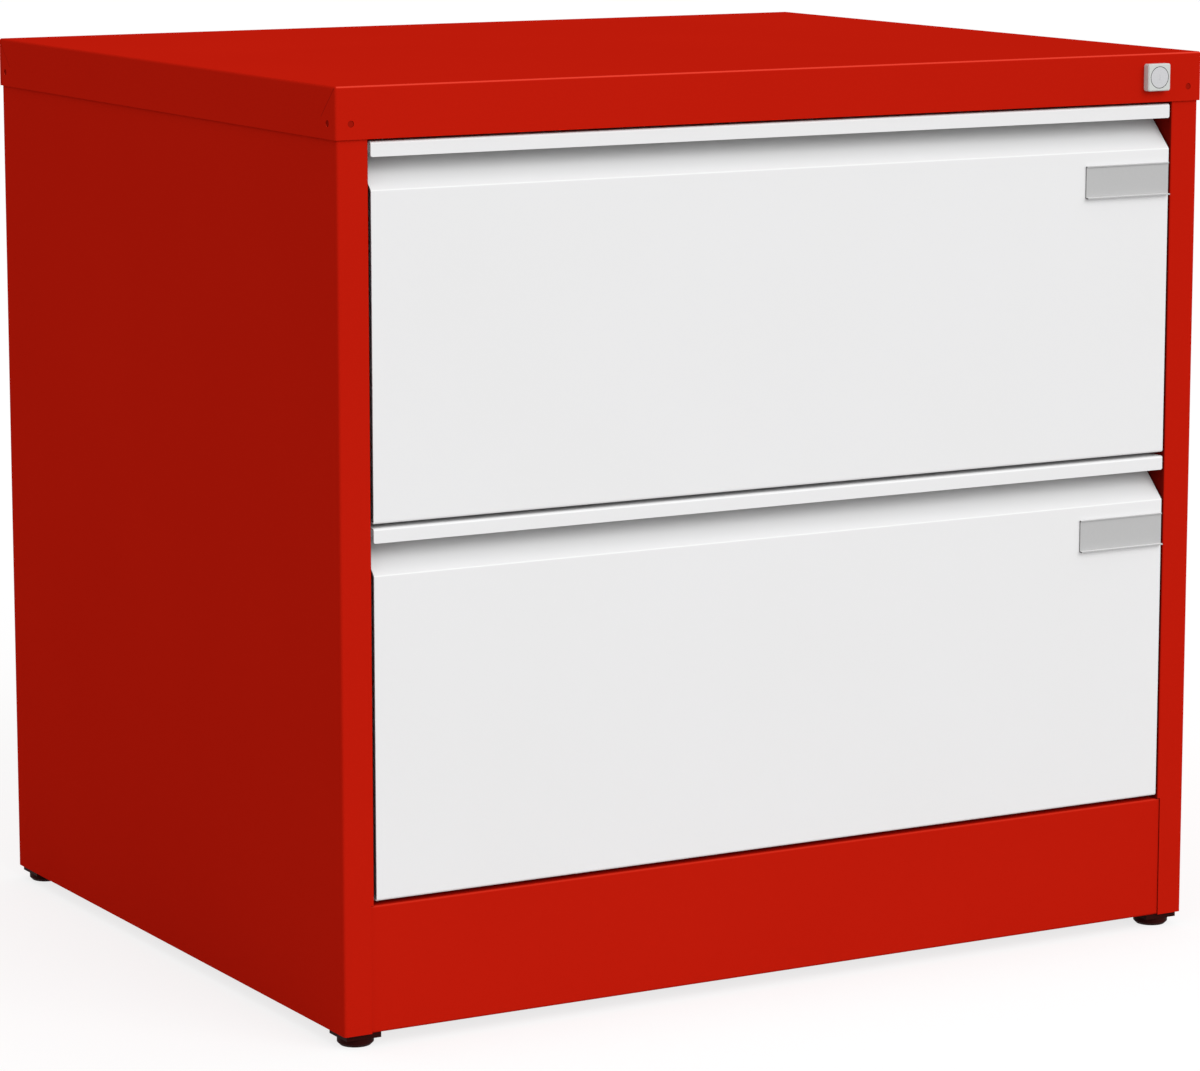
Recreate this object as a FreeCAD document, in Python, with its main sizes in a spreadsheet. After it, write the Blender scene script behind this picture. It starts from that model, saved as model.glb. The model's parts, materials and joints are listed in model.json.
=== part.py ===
# Two-drawer filing cabinet for two rows of hanging files: folded steel carcass, telescopic drawers, gang lock.
# Frame: X to the right and Z up as seen from the front, the front faces -Y, the origin is on the floor
# under the middle of the top cover. All lengths are in millimetres.
import FreeCAD
import Part
import Sketcher
import os
import re

SIZES = {
    # overall
    "cabinet_width": 775.0,
    "cabinet_depth": 630.0,
    "cabinet_height": 720.0,
    "overrun": 2.0,
    # sheet metal
    "sheet": 1.0,
    "bend_radius": 1.0,
    # top cover
    "cover_overhang": 1.75,
    "cover_skirt": 39.0,
    "rivet_diameter": 4.8,
    "rivet_hole_clearance": 0.1,
    "rivet_recess": 0.5,
    "rivet_tail": 3.0,
    "rivet_from_corner": 11.0,
    "rivet_below_top": 27.5,
    # side panels
    "stile_width": 26.0,
    "stile_return": 25.0,
    # feet
    "foot_height": 10.8,
    "foot_flange": 29.0,
    "foot_flange_thickness": 4.3,
    "foot_inset": 3.0,
    "foot_diameter": 28.0,
    "foot_chamfer": 2.3,
    "foot_plug": 20.0,
    "foot_plug_height": 14.0,
    # plinth
    "plinth_height": 98.0,
    "plinth_top_return": 20.0,
    "plinth_bottom_return": 30.0,
    "plinth_end_gap": 1.5,
    "plinth_relief": 3.0,
    "relief_gap": 0.3,
    # back panel
    "back_flange": 15.0,
    # front top rail
    "top_rail_drop": 37.0,
    "top_rail_depth": 25.0,
    # uprights
    "upright_width": 40.0,
    "upright_wall": 1.5,
    "upright_front_offset": 18.0,
    "upright_rear_offset": 45.0,
    "upright_slot_height": 14.0,
    "upright_slot_width": 6.0,
    "upright_slot_pitch": 64.0,
    "upright_slot_start": 40.0,
    # drawer fronts
    "front_end_gap": 1.7,
    "front_gap": 3.2,
    "plinth_front_gap": 3.5,
    "upper_front_drop": 2.0,
    "front_corner": 1.0,
    "front_return_inset": 6.0,
    "grip_depth": 25.0,
    "grip_drop": 35.6,
    "grip_angle": 45.0,
    "grip_lip": 11.2,
    "liner_margin": 1.5,
    # drawer box
    "box_rise": 12.0,
    "file_shelf_drop": 34.6,
    "box_rear_gap": 36.0,
    "side_bottom_flange": 15.0,
    "file_shelf": 10.0,
    "file_upstand": 10.0,
    "file_rail_half": 7.0,
    "file_rail_depth": 12.0,
    "back_side_flange": 12.0,
    # label holders
    "label_width": 80.0,
    "label_height": 26.0,
    "label_drop": 46.5,
    "label_end_gap": 0.8,
    "label_lip": 2.0,
    "label_ledge": 4.0,
    # telescopic runners
    "runner_rear_gap": 33.5,
    "runner_front_gap": 6.0,
    "runner_height": 45.0,
    "runner_depth": 12.7,
    "runner_rise": 75.0,
    "rail_wall": 1.2,
    "bend_flat_share": 0.7,
    "rail_lip": 2.6,
    "web_gap": 1.2,
    "tip_gap": 0.8,
    "outer_race": 3.8,
    "inner_race": 3.4,
    "cage_wall": 0.6,
    "cage_length": 240.0,
    "ball_clearance": 0.2,
    "ball_pitch": 70.0,
    # lock
    "lock_from_right": 45.65,
    "lock_below_top": 18.9,
    "lock_face": 21.6,
    "lock_proud": 6.3,
    "lock_corner": 1.8,
    "lock_face_bevel": 0.8,
    "lock_barrel_diameter": 19.6,
    "lock_barrel_length": 20.0,
    "lock_hole_clearance": 0.3,
    "lock_core_diameter": 16.6,
    "lock_core_clearance": 0.35,
    "lock_core_tail": 3.0,
    "keyway_width": 0.5,
    "keyway_height": 4.5,
    "keyway_depth": 6.0,
    "lock_nut_across": 26.0,
    "lock_nut_thickness": 4.0,
    "lock_nut_clearance": 0.08,
    "crank_width": 12.0,
    "crank_end": 4.0,
    "crank_thickness": 2.0,
    "crank_radius": 10.0,
    "crank_angle": 45.0,
    "crank_pin_diameter": 4.0,
    "crank_pin_length": 8.0,
    # lock bar
    "bar_thickness": 2.0,
    "bar_width": 16.0,
    "bar_side_gap": 2.5,
    "bar_liner_gap": 0.6,
    "bar_arm_half": 8.0,
    "bar_slot_clearance": 0.6,
    "bar_foot": 12.0,
    "tab_height": 12.0,
    "tab_reach": 12.0,
    "tab_catch_gap": 0.5,
    "tab_free_gap": 1.5,
    "catch_drop": 92.6,
    "catch_height": 12.0,
    "catch_reach": 9.0,
    "catch_length": 25.0,
    "catch_wall": 1.5,
    "guide_wall": 1.2,
    "guide_gap": 0.4,
    "guide_height": 14.0,
    "guide_drop": 57.6,
}

# Balls in each row of a cage
BALLS_PER_ROW = 2

# Edge matching in the model, far below any size of the part
MATCH = 1e-4

WORD = re.compile(r"[a-z_]+")

doc = FreeCAD.newDocument("filing_cabinet")
sizes = doc.addObject("Spreadsheet::Sheet", "sizes")
for row, (alias, value) in enumerate(SIZES.items(), start=1):
    sizes.set(f"A{row}", alias)
    sizes.set(f"B{row}", str(value))
    sizes.setAlias(f"B{row}", alias)
doc.recompute()

# Places worked out from the driving sizes, written as expressions
BODY_HALF = "(cabinet_width / 2 - cover_overhang)"
FRONT = "(cover_overhang - cabinet_depth / 2)"
BACK = "(cabinet_depth / 2 - cover_overhang)"
TOP = "(cabinet_height - sheet)"
SKIRT_BOTTOM = "(cabinet_height - cover_skirt)"
BEND_OUT = "(bend_radius + sheet)"
INNER_WALL = f"({BODY_HALF} - sheet)"
OPENING = f"({BODY_HALF} - stile_width)"
PLINTH_TOP = "(foot_height + plinth_height)"
PLINTH_FACE = f"({FRONT} + sheet)"
FLOOR_TOP = "(foot_height + 2 * sheet)"
FRONT_ROOM = f"({SKIRT_BOTTOM} - upper_front_drop - {PLINTH_TOP} - plinth_front_gap)"
FRONT_HEIGHT = f"(({FRONT_ROOM} - front_gap) / 2)"
FRONT_HALF = f"({OPENING} - front_end_gap)"
FRONT_BOTTOMS = {
    "upper": f"({PLINTH_TOP} + plinth_front_gap + {FRONT_HEIGHT} + front_gap)",
    "lower": f"({PLINTH_TOP} + plinth_front_gap)",
}
FRONT_TOPS = {row: f"({low} + {FRONT_HEIGHT})" for row, low in FRONT_BOTTOMS.items()}
LINER_FACE = f"({FRONT} + grip_depth + sheet)"
LINER_BACK = f"({LINER_FACE} + sheet)"
BOX_REAR = f"({BACK} - box_rear_gap)"
BOX_SIDE = f"({OPENING} - runner_depth)"
LOCK_X = "(cabinet_width / 2 - lock_from_right)"
LOCK_Z = "(cabinet_height - lock_below_top)"
LOCK_FACE = "(-cabinet_depth / 2 - lock_proud)"
BARREL_REAR = "(lock_barrel_length - cabinet_depth / 2)"
CORE_REAR = f"({BARREL_REAR} + lock_core_tail)"
CRANK_REAR = f"({CORE_REAR} + crank_thickness)"
PIN_X = f"({LOCK_X} + crank_radius * cos(crank_angle))"
PIN_Z = f"({LOCK_Z} - crank_radius * sin(crank_angle))"
BAR_FACE = f"({LINER_BACK} + bar_liner_gap)"
BAR_REAR = f"({BAR_FACE} + bar_thickness)"
BAR_INNER = f"({OPENING} + bar_side_gap)"
BAR_OUTER = f"({BAR_INNER} + bar_width)"
RUNNER_FRONT = f"({LINER_BACK} + runner_front_gap)"
RUNNER_REAR = f"({BACK} - runner_rear_gap)"
RUNNER_MIDDLE = f"(({RUNNER_FRONT} + {RUNNER_REAR}) / 2)"
RAIL_TIP = "(runner_depth - rail_wall - tip_gap)"
MIDDLE_WEB = "(rail_wall + web_gap)"
MIDDLE_HALF = "(runner_height / 2 - rail_wall - outer_race)"
INNER_HALF = f"({MIDDLE_HALF} - rail_wall - inner_race)"


def bound(text):
    """The expression with every named size read from the sheet."""
    return WORD.sub(lambda word: "sizes." + word[0] if word[0] in SIZES else word[0], text)


def size(text):
    """The present value of an expression."""
    return float(sizes.evalExpression(text))


def new_body(name):
    """An empty body whose label is the name of its node."""
    body = doc.addObject("PartDesign::Body", name)
    body.Label = name
    return body


def draw_polygon(sketch, points):
    """Closed run of lines whose corners are bound to expressions."""
    first = sketch.GeometryCount
    corners = [FreeCAD.Vector(size(x), size(y), 0) for x, y in points]
    count = len(corners)
    for index, corner in enumerate(corners):
        sketch.addGeometry(Part.LineSegment(corner, corners[(index + 1) % count]), False)
    for index in range(count):
        following = first + (index + 1) % count
        sketch.addConstraint(Sketcher.Constraint("Coincident", first + index, 2, following, 1))
    for index, (x, y) in enumerate(points):
        for kind, text in (("DistanceX", x), ("DistanceY", y)):
            place = Sketcher.Constraint(kind, -1, 1, first + index, 1, size(text))
            number = sketch.addConstraint(place)
            sketch.setExpression(f"Constraints[{number}]", bound(text))


def draw_circle(sketch, centre, radius):
    """Circle whose centre and radius are bound to expressions."""
    x, y = centre
    middle = FreeCAD.Vector(size(x), size(y), 0)
    number = sketch.addGeometry(Part.Circle(middle, FreeCAD.Vector(0, 0, 1), size(radius)), False)
    for kind, text in (("DistanceX", x), ("DistanceY", y)):
        place = sketch.addConstraint(Sketcher.Constraint(kind, -1, 1, number, 3, size(text)))
        sketch.setExpression(f"Constraints[{place}]", bound(text))
    girth = sketch.addConstraint(Sketcher.Constraint("Radius", number, size(radius)))
    sketch.setExpression(f"Constraints[{girth}]", bound(radius))


def draw(body, plane, shapes, level):
    """Sketch on one of the body's planes. A shape is a list of corners or a centre with a radius."""
    sketch = body.newObject("Sketcher::SketchObject", body.Name + "_sketch")
    support = [item for item in body.Origin.OriginFeatures if item.Role == plane][0]
    sketch.AttachmentSupport = [(support, "")]
    sketch.MapMode = "FlatFace"
    sketch.setExpression("AttachmentOffset.Base.z", bound(level))
    for shape in shapes:
        if isinstance(shape, list):
            draw_polygon(sketch, shape)
        else:
            draw_circle(sketch, *shape)
    return sketch


def prism(body, plane, shapes, start, end, cut=False):
    """Pad or pocket between two places along the axis that the plane stands across."""
    level = f"-({end})" if plane == "XZ_Plane" else start
    sketch = draw(body, plane, shapes, level)
    before = body.Shape.Volume if cut else 0.0
    kind = "PartDesign::Pocket" if cut else "PartDesign::Pad"
    feature = body.newObject(kind, body.Name + ("_cut" if cut else "_pad"))
    feature.Profile = sketch
    feature.Reversed = cut
    feature.setExpression("Length", bound(f"({end}) - ({start})"))
    sketch.Visibility = False
    doc.recompute()
    if cut and body.Shape.Volume >= before:
        raise RuntimeError(f"{body.Label}: a cut removed nothing")
    return feature


def edges_through(feature, plane, corners):
    """Names of the edges that stand square on the plane through the given corners."""
    axes = {"XY_Plane": (0, 1, 2), "XZ_Plane": (0, 2, 1), "YZ_Plane": (1, 2, 0)}[plane]
    places = [(size(x), size(y)) for x, y in corners]
    names = []
    for number, edge in enumerate(feature.Shape.Edges, start=1):
        ends = [vertex.Point for vertex in edge.Vertexes]
        if len(ends) < 2 or abs(ends[0][axes[2]] - ends[1][axes[2]]) < MATCH:
            continue
        for x, y in places:
            if all(abs(p[axes[0]] - x) < MATCH and abs(p[axes[1]] - y) < MATCH for p in ends):
                names.append(f"Edge{number}")
    return names


def round_edges(body, feature, plane, corners, radius):
    """Fillet on the edges that stand on the plane through the given corners."""
    names = edges_through(feature, plane, corners)
    if len(names) < len(corners):
        raise RuntimeError(f"{body.Label}: found {len(names)} edges for {len(corners)} corners")
    fillet = body.newObject("PartDesign::Fillet", body.Name + "_round")
    fillet.Base = (feature, names)
    fillet.setExpression("Radius", bound(radius))
    doc.recompute()
    return fillet


def offset_path(path, wall, left):
    """The far side of a sheet that is folded square along a path, and its outer and inner bends."""
    places = [FreeCAD.Vector(size(x), size(y), 0) for x, y in path]
    headings = [(b - a).normalize() for a, b in zip(places, places[1:])]
    turn = 1 if left else -1
    normals = [FreeCAD.Vector(-turn * h.y, turn * h.x, 0) for h in headings]
    far = []
    outer = []
    inner = []
    for index, (x, y) in enumerate(path):
        before = normals[max(index - 1, 0)]
        after = normals[min(index, len(normals) - 1)]
        step = before if index in (0, len(path) - 1) else before + after
        moved = (f"{x} + {round(step.x)} * {wall}", f"{y} + {round(step.y)} * {wall}")
        far.append(moved)
        if 0 < index < len(path) - 1:
            towards = headings[index - 1].cross(headings[index]).z * turn > 0
            outer.append((x, y) if towards else moved)
            inner.append(moved if towards else (x, y))
    return far, outer, inner


def folded(name, plane, path, start, end, left):
    """Sheet folded square along a path, with rounded bends, between two places."""
    body = new_body(name)
    far, outer, inner = offset_path(path, "sheet", left)
    pad = prism(body, plane, [path + far[::-1]], start, end)
    pad = round_edges(body, pad, plane, outer, BEND_OUT)
    round_edges(body, pad, plane, inner, "bend_radius")
    return body


def rolled(name, plane, path, start, end, left, wall):
    """Small section rolled along a path, with a flat at each bend, between two places."""
    body = new_body(name)
    far, outer, _ = offset_path(path, wall, left)
    pad = prism(body, plane, [path + far[::-1]], start, end)
    flats = body.newObject("PartDesign::Chamfer", body.Name + "_flats")
    flats.Base = (pad, edges_through(pad, plane, outer))
    flats.setExpression("Size", bound(f"{wall} * bend_flat_share"))
    doc.recompute()
    return body


def rectangle(x_low, x_high, y_low, y_high):
    """Corners of a rectangle."""
    return [(x_low, y_low), (x_high, y_low), (x_high, y_high), (x_low, y_high)]


def sided(sign, text):
    """An X place on the left (-1) or right (1) of the cabinet."""
    return f"{sign} * ({text})"


def turned(sign, points):
    """Points given for the right side, put on the left or right."""
    return [(sided(sign, x), y) for x, y in points]


# Rivet places: across the cabinet for front and back, along it for the sides
RIVET_X = f"({BODY_HALF} - rivet_from_corner)"
RIVET_Y = f"({BACK} - rivet_from_corner)"
RIVET_Z = "(cabinet_height - rivet_below_top)"
RIVET_HOLE = "rivet_diameter / 2 + rivet_hole_clearance"
SIDES = {"left": -1, "right": 1}
ENDS = {"front": -1, "rear": 1}


def top_cover():
    """Tray with four skirts, open below."""
    body = new_body("top_cover")
    half_x = "cabinet_width / 2"
    half_y = "cabinet_depth / 2"
    plan = rectangle(f"-{half_x}", half_x, f"-{half_y}", half_y)
    pad = prism(body, "XY_Plane", [plan], SKIRT_BOTTOM, "cabinet_height")
    corners = round_edges(body, pad, "XY_Plane", plan, BEND_OUT)
    top = size("cabinet_height")
    rim = [
        f"Edge{number}"
        for number, edge in enumerate(corners.Shape.Edges, start=1)
        if all(abs(vertex.Z - top) < MATCH for vertex in edge.Vertexes)
    ]
    fold = body.newObject("PartDesign::Fillet", "top_cover_fold")
    fold.Base = (corners, rim)
    fold.setExpression("Radius", bound(BEND_OUT))
    doc.recompute()
    inner_x = f"({half_x} - sheet)"
    inner_y = f"({half_y} - sheet)"
    hollow = rectangle(f"-{inner_x}", inner_x, f"-{inner_y}", inner_y)
    tray = prism(body, "XY_Plane", [hollow], f"{SKIRT_BOTTOM} - overrun", TOP, cut=True)
    round_edges(body, tray, "XY_Plane", hollow, "bend_radius")
    across = [((sided(sign, RIVET_X), RIVET_Z), RIVET_HOLE) for sign in SIDES.values()]
    along = [((sided(sign, RIVET_Y), RIVET_Z), RIVET_HOLE) for sign in ENDS.values()]
    prism(body, "XZ_Plane", across, f"-{half_y} - overrun", f"{half_y} + overrun", cut=True)
    prism(body, "YZ_Plane", along, f"-{half_x} - overrun", f"{half_x} + overrun", cut=True)
    hole = ((LOCK_X, LOCK_Z), "lock_barrel_diameter / 2 + lock_hole_clearance")
    prism(body, "XZ_Plane", [hole], f"-{half_y} - overrun", FRONT, cut=True)


def side_panel(side):
    """Side sheet whose front and rear edges fold into square columns; the front one is the stile."""
    sign = SIDES[side]
    path = [
        (OPENING, f"{FRONT} + stile_return"),
        (OPENING, FRONT),
        (BODY_HALF, FRONT),
        (BODY_HALF, BACK),
        (OPENING, BACK),
        (OPENING, f"{BACK} - stile_return"),
    ]
    body = folded(f"{side}_side_panel", "XY_Plane", turned(sign, path), "foot_height", TOP, sign > 0)
    relief = rectangle(
        f"{OPENING} - overrun",
        f"{OPENING} + plinth_relief",
        f"{FRONT} - overrun",
        f"{PLINTH_FACE} + {BEND_OUT} + relief_gap",
    )
    top_of_relief = f"{PLINTH_TOP} + relief_gap"
    prism(body, "XY_Plane", [turned(sign, relief)], "foot_height - overrun", top_of_relief, cut=True)
    across = [((sided(sign, RIVET_X), RIVET_Z), RIVET_HOLE)]
    along = [((sided(end, RIVET_Y), RIVET_Z), RIVET_HOLE) for end in ENDS.values()]
    prism(body, "XZ_Plane", across, f"{FRONT} - overrun", f"{BACK} + overrun", cut=True)
    outside = sorted([sided(sign, f"{INNER_WALL} - overrun"), sided(sign, f"{BODY_HALF} + overrun")], key=size)
    prism(body, "YZ_Plane", along, *outside, cut=True)


def back_panel():
    """Pan between the rear columns, flush with them."""
    path = [
        (f"-{OPENING}", f"{BACK} - back_flange"),
        (f"-{OPENING}", BACK),
        (OPENING, BACK),
        (OPENING, f"{BACK} - back_flange"),
    ]
    folded("back_panel", "XY_Plane", path, "foot_height", TOP, False)


def bottom_panel():
    """Floor plate, notched round the four columns, lying on the plinth's lower return."""
    body = new_body("bottom_panel")
    front = f"{PLINTH_FACE} + {BEND_OUT}"
    rear = f"{BACK} - {BEND_OUT}"
    column = f"({BACK} - stile_return - relief_gap)"
    narrow = f"({OPENING} - sheet - relief_gap)"
    right = [
        (narrow, front),
        (narrow, f"-{column}"),
        (INNER_WALL, f"-{column}"),
        (INNER_WALL, column),
        (narrow, column),
        (narrow, rear),
    ]
    left = [(f"-{x}", y) for x, y in reversed(right)]
    prism(body, "XY_Plane", [right + left], "foot_height + sheet", FLOOR_TOP)


def plinth():
    """Channel across the front below the drawers, lapped behind the stiles."""
    path = [
        (f"{PLINTH_FACE} + plinth_top_return", PLINTH_TOP),
        (PLINTH_FACE, PLINTH_TOP),
        (PLINTH_FACE, "foot_height"),
        (f"{PLINTH_FACE} + plinth_bottom_return", "foot_height"),
    ]
    half = f"({INNER_WALL} - plinth_end_gap)"
    body = folded("plinth", "YZ_Plane", path, f"-{half}", half, True)
    for sign in SIDES.values():
        spare = rectangle(
            f"{OPENING} - relief_gap",
            f"{half} + overrun",
            f"{PLINTH_FACE} + sheet",
            f"{PLINTH_FACE} + plinth_bottom_return + overrun",
        )
        prism(body, "XY_Plane", [turned(sign, spare)], "0", f"{PLINTH_TOP} + overrun", cut=True)


def front_top_rail():
    """Channel between the stiles behind the cover's front skirt; it carries the lock."""
    low = f"({TOP} - top_rail_drop)"
    path = [
        (f"{FRONT} + top_rail_depth", TOP),
        (FRONT, TOP),
        (FRONT, low),
        (f"{FRONT} + top_rail_depth", low),
    ]
    body = folded("front_top_rail", "YZ_Plane", path, f"-{OPENING}", OPENING, True)
    hole = ((LOCK_X, LOCK_Z), "lock_barrel_diameter / 2 + lock_hole_clearance")
    prism(body, "XZ_Plane", [hole], f"{FRONT} - overrun", f"{FRONT} + sheet + overrun", cut=True)


def upright(side, end):
    """Channel welded to the side panel, with a column of slots that the runners hook into."""
    sign = SIDES[side]
    front = f"({LINER_BACK} + upright_front_offset)"
    start = front if end == "front" else f"({BACK} - stile_return - upright_rear_offset)"
    path = [
        (INNER_WALL, start),
        (OPENING, start),
        (OPENING, f"{start} + upright_width"),
        (INNER_WALL, f"{start} + upright_width"),
    ]
    name = f"{side}_{end}_upright"
    body = rolled(name, "XY_Plane", turned(sign, path), FLOOR_TOP, TOP, sign < 0, "upright_wall")
    middle = f"({start} + upright_width / 2)"
    slot = rectangle(
        f"{middle} - upright_slot_width / 2",
        f"{middle} + upright_slot_width / 2",
        f"{FLOOR_TOP} + upright_slot_start",
        f"{FLOOR_TOP} + upright_slot_start + upright_slot_height",
    )
    through = [sided(sign, f"{OPENING} - overrun"), sided(sign, f"{OPENING} + upright_wall + overrun")]
    cut = prism(body, "YZ_Plane", [slot], *sorted(through, key=size), cut=True)
    pattern = body.newObject("PartDesign::LinearPattern", name + "_slots")
    pattern.Originals = [cut]
    pattern.Direction = (body.Origin.OriginFeatures[2], [""])
    room = f"{TOP} - {FLOOR_TOP} - 2 * upright_slot_start - upright_slot_height"
    pattern.setExpression("Length", bound(f"floor(({room}) / upright_slot_pitch) * upright_slot_pitch"))
    pattern.setExpression("Occurrences", bound(f"floor(({room}) / upright_slot_pitch) + 1"))
    body.Tip = pattern
    doc.recompute()


def foot(end, side):
    """Glide pushed into a column: square flange, round foot with a chamfer, plug above."""
    x = sided(SIDES[side], f"{BODY_HALF} - foot_inset - foot_flange / 2")
    y = f"{ENDS[end]} * ({BACK} - foot_inset - foot_flange / 2)"
    body = new_body(f"foot_{end}_{side}")
    low = "(foot_height - foot_flange_thickness)"
    pad = prism(body, "XY_Plane", [((x, y), "foot_diameter / 2")], "0", low)
    rim = [
        f"Edge{number}"
        for number, edge in enumerate(pad.Shape.Edges, start=1)
        if all(abs(vertex.Z) < MATCH for vertex in edge.Vertexes)
    ]
    chamfer = body.newObject("PartDesign::Chamfer", body.Name + "_chamfer")
    chamfer.Base = (pad, rim)
    chamfer.setExpression("Size", bound("foot_chamfer"))
    doc.recompute()
    half = "foot_flange / 2"
    flange = rectangle(f"{x} - {half}", f"{x} + {half}", f"{y} - {half}", f"{y} + {half}")
    prism(body, "XY_Plane", [flange], low, "foot_height")
    column_x = sided(SIDES[side], f"({OPENING} + sheet + {INNER_WALL}) / 2")
    column_y = f"{ENDS[end]} * ({BACK} - (stile_return + 2 * sheet) / 2)"
    half = "foot_plug / 2"
    plug = rectangle(
        f"{column_x} - {half}", f"{column_x} + {half}", f"{column_y} - {half}", f"{column_y} + {half}"
    )
    prism(body, "XY_Plane", [plug], "foot_height", "foot_height + foot_plug_height")
    return body


def feet():
    """The four glides, which are alike."""
    group = doc.addObject("Part::Compound", "feet")
    group.Label = "feet"
    group.Links = [foot(end, side) for end in ENDS for side in SIDES]
    return group


def cylinder(name, diameter, length, base, axis):
    """Round bar from a base point along an axis."""
    bar = doc.addObject("Part::Cylinder", name)
    bar.setExpression("Radius", bound(f"({diameter}) / 2"))
    bar.setExpression("Height", bound(length))
    bar.Placement.Rotation = FreeCAD.Rotation(FreeCAD.Vector(0, 0, 1), FreeCAD.Vector(*axis))
    for letter, text in zip("xyz", base):
        bar.setExpression(f"Placement.Base.{letter}", bound(text))
    return bar


def cover_rivets():
    """Rivets through the skirts into the columns, set a little below the paint."""
    half_x = "cabinet_width / 2 - rivet_recess"
    half_y = "cabinet_depth / 2 - rivet_recess"
    reach = "cover_overhang + sheet + rivet_tail - rivet_recess"
    rivets = []
    for across in SIDES.values():
        for along in ENDS.values():
            head = (sided(across, half_x), sided(along, RIVET_Y), RIVET_Z)
            rivets.append(cylinder("side_rivet", "rivet_diameter", reach, head, (-across, 0, 0)))
            head = (sided(across, RIVET_X), sided(along, half_y), RIVET_Z)
            rivets.append(cylinder("end_rivet", "rivet_diameter", reach, head, (0, -along, 0)))
    group = doc.addObject("Part::Compound", "cover_rivets")
    group.Label = "cover_rivets"
    group.Links = rivets
    return group


def lock_housing():
    """Square front with rounded corners on a threaded barrel, bored for the core."""
    body = new_body("lock_housing")
    half = "lock_face / 2"
    square = rectangle(f"{LOCK_X} - {half}", f"{LOCK_X} + {half}", f"{LOCK_Z} - {half}", f"{LOCK_Z} + {half}")
    face = prism(body, "XZ_Plane", [square], LOCK_FACE, "-cabinet_depth / 2")
    face = round_edges(body, face, "XZ_Plane", square, "lock_corner")
    front = size(LOCK_FACE)
    rim = [
        f"Edge{number}"
        for number, edge in enumerate(face.Shape.Edges, start=1)
        if all(abs(vertex.Y - front) < MATCH for vertex in edge.Vertexes)
    ]
    bevel = body.newObject("PartDesign::Chamfer", "lock_housing_rim")
    bevel.Base = (face, rim)
    bevel.setExpression("Size", bound("lock_face_bevel"))
    doc.recompute()
    barrel = ((LOCK_X, LOCK_Z), "lock_barrel_diameter / 2")
    prism(body, "XZ_Plane", [barrel], "-cabinet_depth / 2", BARREL_REAR)
    bore = ((LOCK_X, LOCK_Z), "lock_core_diameter / 2 + lock_core_clearance")
    prism(body, "XZ_Plane", [bore], f"{LOCK_FACE} - overrun", f"{BARREL_REAR} + overrun", cut=True)


def lock_core():
    """Plug with a plain keyway."""
    body = new_body("lock_core")
    plug = ((LOCK_X, LOCK_Z), "lock_core_diameter / 2")
    prism(body, "XZ_Plane", [plug], LOCK_FACE, CORE_REAR)
    slot = rectangle(
        f"{LOCK_X} - keyway_width / 2",
        f"{LOCK_X} + keyway_width / 2",
        f"{LOCK_Z} - keyway_height / 2",
        f"{LOCK_Z} + keyway_height / 2",
    )
    prism(body, "XZ_Plane", [slot], f"{LOCK_FACE} - overrun", f"{LOCK_FACE} + keyway_depth", cut=True)


def lock_nut():
    """Hexagon nut that draws the barrel against the top rail."""
    body = new_body("lock_nut")
    reach = "(lock_nut_across / 2 / cos(30))"
    points = [
        (f"{LOCK_X} + {reach} * cos({60 * turn})", f"{LOCK_Z} + {reach} * sin({60 * turn})")
        for turn in range(6)
    ]
    start = f"{FRONT} + sheet"
    prism(body, "XZ_Plane", [points], start, f"{start} + lock_nut_thickness")
    bore = ((LOCK_X, LOCK_Z), "lock_barrel_diameter / 2 + lock_nut_clearance")
    prism(body, "XZ_Plane", [bore], f"{start} - overrun", f"{start} + lock_nut_thickness + overrun", cut=True)


def lock_crank():
    """Arm on the rear of the core with a pin at its end."""
    body = new_body("lock_crank")
    arm = []
    for along, across in (("-crank_end", -1), ("crank_radius + crank_end", -1),
                          ("crank_radius + crank_end", 1), ("-crank_end", 1)):
        x = f"{LOCK_X} + ({along}) * cos(crank_angle) + {across} * crank_width / 2 * sin(crank_angle)"
        z = f"{LOCK_Z} - ({along}) * sin(crank_angle) + {across} * crank_width / 2 * cos(crank_angle)"
        arm.append((x, z))
    prism(body, "XZ_Plane", [arm], CORE_REAR, CRANK_REAR)
    pin = ((PIN_X, PIN_Z), "crank_pin_diameter / 2")
    prism(body, "XZ_Plane", [pin], CRANK_REAR, f"{CRANK_REAR} + crank_pin_length")


def tab_low(row):
    """Lower edge of a lock tab while the drawers are free."""
    return f"({FRONT_TOPS[row]} - catch_drop - tab_free_gap - tab_height)"


def lock_bar():
    """Flat bar beside the drawers: an arm with a slot for the crank pin, and one tab per drawer."""
    body = new_body("lock_bar")
    reach = f"({OPENING} - tab_reach)"
    foot_z = f"({tab_low('lower')} - bar_foot)"
    arm_low = f"({PIN_Z} - bar_arm_half)"
    arm_high = f"({PIN_Z} + bar_arm_half)"
    slot_half = "(crank_pin_diameter / 2 + bar_slot_clearance)"
    arm_end = f"({PIN_X} - {slot_half} - bar_arm_half / 2)"
    points = [
        (BAR_OUTER, foot_z),
        (BAR_OUTER, arm_high),
        (arm_end, arm_high),
        (arm_end, arm_low),
        (BAR_INNER, arm_low),
    ]
    for row in ("upper", "lower"):
        low = tab_low(row)
        high = f"({low} + tab_height)"
        points += [(BAR_INNER, high), (reach, high), (reach, low), (BAR_INNER, low)]
    points.append((BAR_INNER, foot_z))
    prism(body, "XZ_Plane", [points], BAR_FACE, BAR_REAR)
    slot = rectangle(
        f"{PIN_X} - {slot_half}",
        f"{LOCK_X} + crank_radius + {slot_half}",
        f"{PIN_Z} - {slot_half}",
        f"{PIN_Z} + {slot_half}",
    )
    prism(body, "XZ_Plane", [slot], f"{BAR_FACE} - overrun", f"{BAR_REAR} + overrun", cut=True)


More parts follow.
